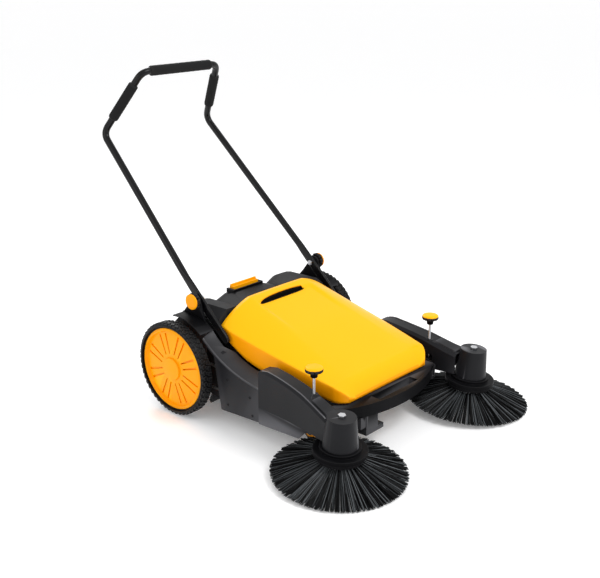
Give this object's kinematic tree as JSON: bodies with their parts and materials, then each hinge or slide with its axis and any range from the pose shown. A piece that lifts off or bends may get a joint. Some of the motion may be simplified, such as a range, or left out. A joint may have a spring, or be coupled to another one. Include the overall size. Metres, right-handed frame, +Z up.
{
  "type": "walk behind sweeper",
  "caption": "Manual push sweeper with tilted side brushes, a wheel driven main roller, a lift-out dirt bin and a folding handle with foam grips.",
  "frame": {"origin": "on the floor, under the middle of the whole machine", "axes": "+Z up, -Y is the way the machine travels, +Y towards the operator, +X is the operator's left"},
  "size_m": [1.0002, 1.2477, 1.004],
  "materials": {
    "dark_plastic": "fine textured moulding",
    "black_plastic": "fine textured moulding",
    "yellow_plastic": "semi gloss moulding",
    "hub_yellow": "gloss moulding",
    "tyre_rubber": "treaded rubber",
    "soft_rubber": "smooth rubber",
    "foam": "closed cell foam",
    "bristle": "nylon bristle",
    "steel": "zinc plated",
    "tube_paint": "gloss black powder coat",
    "white_plastic": "natural acetal"
  },
  "bodies": {
    "chassis": {"side_frame_left": "dark_plastic", "side_frame_right": "dark_plastic", "side_cover_left": "dark_plastic", "side_cover_right": "dark_plastic", "front_frame": "dark_plastic", "rear_hood": "black_plastic", "roller_baffle": "black_plastic", "rear_flap": "soft_rubber", "stub_axles": "steel", "cover_screws": "steel", "roller_bushes": "white_plastic", "wheel_belts": "soft_rubber", "arm_pivot_pins": "steel"},
    "roller": {"roller_core": "black_plastic", "roller_bristles": "bristle", "roller_shaft": "steel", "roller_pinion": "white_plastic"},
    "handle": {"handle_tube_left": "tube_paint", "handle_tube_right": "tube_paint", "handle_bow": "tube_paint", "grip_left": "foam", "grip_right": "foam", "grip_top": "foam", "clamp_nuts": "steel"},
    "dirt_bin": {"bin_lid": "yellow_plastic", "bin_tray": "black_plastic"},
    "latch": {"rear_latch": "hub_yellow"},
    "wheel_left": {"tyre_left": "tyre_rubber", "wheel_hub_left": "hub_yellow", "wheel_gear_left": "white_plastic"},
    "arm_pulley_left": {"arm_pulley_left": "white_plastic"},
    "arm_left": {"arm_left": "dark_plastic", "brush_guard_left": "black_plastic", "arm_belt_left": "soft_rubber"},
    "side_brush_left": {"brush_disc_left": "black_plastic", "brush_bristles_left": "bristle", "brush_spindle_left": "steel"},
    "adjuster_left": {"adjuster_knob_left": "yellow_plastic", "adjuster_rod_left": "steel"},
    "clamp_left": {"clamp_knob_left": "hub_yellow"},
    "caster_left": {"caster_fork_left": "black_plastic"},
    "caster_wheel_left": {"caster_wheel_left": "hub_yellow"},
    "wheel_right": {"tyre_right": "tyre_rubber", "wheel_hub_right": "hub_yellow", "wheel_gear_right": "white_plastic"},
    "arm_pulley_right": {"arm_pulley_right": "white_plastic"},
    "arm_right": {"arm_right": "dark_plastic", "brush_guard_right": "black_plastic", "arm_belt_right": "soft_rubber"},
    "side_brush_right": {"brush_disc_right": "black_plastic", "brush_bristles_right": "bristle", "brush_spindle_right": "steel"},
    "adjuster_right": {"adjuster_knob_right": "yellow_plastic", "adjuster_rod_right": "steel"},
    "clamp_right": {"clamp_knob_right": "hub_yellow"},
    "caster_right": {"caster_fork_right": "black_plastic"},
    "caster_wheel_right": {"caster_wheel_right": "hub_yellow"}
  },
  "joints": [
    {"name": "wheel_spin_left", "type": "hinge", "parent": "chassis", "child": "wheel_left", "pos_m": [0.333, 0.19189, 0.146], "axis": [1, 0, 0], "continuous": true},
    {"name": "wheel_spin_right", "type": "hinge", "parent": "chassis", "child": "wheel_right", "pos_m": [-0.333, 0.19189, 0.146], "axis": [1, 0, 0], "continuous": true},
    {"name": "roller_spin", "type": "hinge", "parent": "chassis", "child": "roller", "pos_m": [0, 0.12572, 0.085], "axis": [1, 0, 0], "continuous": true},
    {"name": "arm_pulley_spin_left", "type": "hinge", "parent": "chassis", "child": "arm_pulley_left", "pos_m": [0.282, -0.15311, 0.125], "axis": [1, 0, 0], "continuous": true},
    {"name": "arm_lift_left", "type": "hinge", "parent": "chassis", "child": "arm_left", "pos_m": [0.275, -0.15311, 0.125], "axis": [-1, 0, 0], "range_deg": [0, 2.5]},
    {"name": "brush_spin_left", "type": "hinge", "parent": "arm_left", "child": "side_brush_left", "pos_m": [0.311, -0.43511, 0.01473], "axis": [0.0348, -0.0698, 0.997], "continuous": true},
    {"name": "adjuster_turn_left", "type": "hinge", "parent": "arm_left", "child": "adjuster_left", "pos_m": [0.2735, -0.31211, 0.2], "axis": [0, 0, 1], "range_deg": [0, 900]},
    {"name": "arm_pulley_spin_right", "type": "hinge", "parent": "chassis", "child": "arm_pulley_right", "pos_m": [-0.282, -0.15311, 0.125], "axis": [1, 0, 0], "continuous": true},
    {"name": "arm_lift_right", "type": "hinge", "parent": "chassis", "child": "arm_right", "pos_m": [-0.275, -0.15311, 0.125], "axis": [-1, 0, 0], "range_deg": [0, 2.5]},
    {"name": "brush_spin_right", "type": "hinge", "parent": "arm_right", "child": "side_brush_right", "pos_m": [-0.311, -0.43511, 0.01473], "axis": [-0.0348, -0.0698, 0.997], "continuous": true},
    {"name": "adjuster_turn_right", "type": "hinge", "parent": "arm_right", "child": "adjuster_right", "pos_m": [-0.2735, -0.31211, 0.2], "axis": [0, 0, 1], "range_deg": [0, 900]},
    {"name": "handle_fold", "type": "hinge", "parent": "chassis", "child": "handle", "pos_m": [0, 0.15889, 0.352], "axis": [-1, 0, 0], "range_deg": [-125, 0]},
    {"name": "clamp_turn_left", "type": "hinge", "parent": "chassis", "child": "clamp_left", "pos_m": [0.275, 0.15889, 0.352], "axis": [1, 0, 0], "range_deg": [0, 720]},
    {"name": "clamp_turn_right", "type": "hinge", "parent": "chassis", "child": "clamp_right", "pos_m": [-0.275, 0.15889, 0.352], "axis": [1, 0, 0], "range_deg": [0, 720]},
    {"name": "bin_lift", "type": "slide", "parent": "chassis", "child": "dirt_bin", "axis": [0, 0, 1], "range_m": [0, 0.3]},
    {"name": "latch_flip", "type": "hinge", "parent": "chassis", "child": "latch", "pos_m": [0, 0.22589, 0.316], "axis": [1, 0, 0], "range_deg": [0, 60]},
    {"name": "caster_swivel_left", "type": "hinge", "parent": "chassis", "child": "caster_left", "pos_m": [0.192, -0.24411, 0.092], "axis": [0, 0, 1], "continuous": true},
    {"name": "caster_spin_left", "type": "hinge", "parent": "caster_left", "child": "caster_wheel_left", "pos_m": [0.192, -0.23911, 0.027], "axis": [1, 0, 0], "continuous": true},
    {"name": "caster_swivel_right", "type": "hinge", "parent": "chassis", "child": "caster_right", "pos_m": [-0.192, -0.24411, 0.092], "axis": [0, 0, 1], "continuous": true},
    {"name": "caster_spin_right", "type": "hinge", "parent": "caster_right", "child": "caster_wheel_right", "pos_m": [-0.192, -0.23911, 0.027], "axis": [1, 0, 0], "continuous": true}
  ],
  "couplings": [
    {"joint": "roller_spin", "follows": "wheel_spin_left", "ratio": -2},
    {"joint": "arm_pulley_spin_left", "follows": "wheel_spin_left", "ratio": 2.0233},
    {"joint": "brush_spin_left", "follows": "wheel_spin_left", "ratio": -1.2985},
    {"joint": "adjuster_turn_left", "follows": "arm_lift_left", "ratio": 360},
    {"joint": "arm_pulley_spin_right", "follows": "wheel_spin_right", "ratio": 2.0233},
    {"joint": "brush_spin_right", "follows": "wheel_spin_right", "ratio": 1.2985},
    {"joint": "adjuster_turn_right", "follows": "arm_lift_right", "ratio": 360}
  ]
}
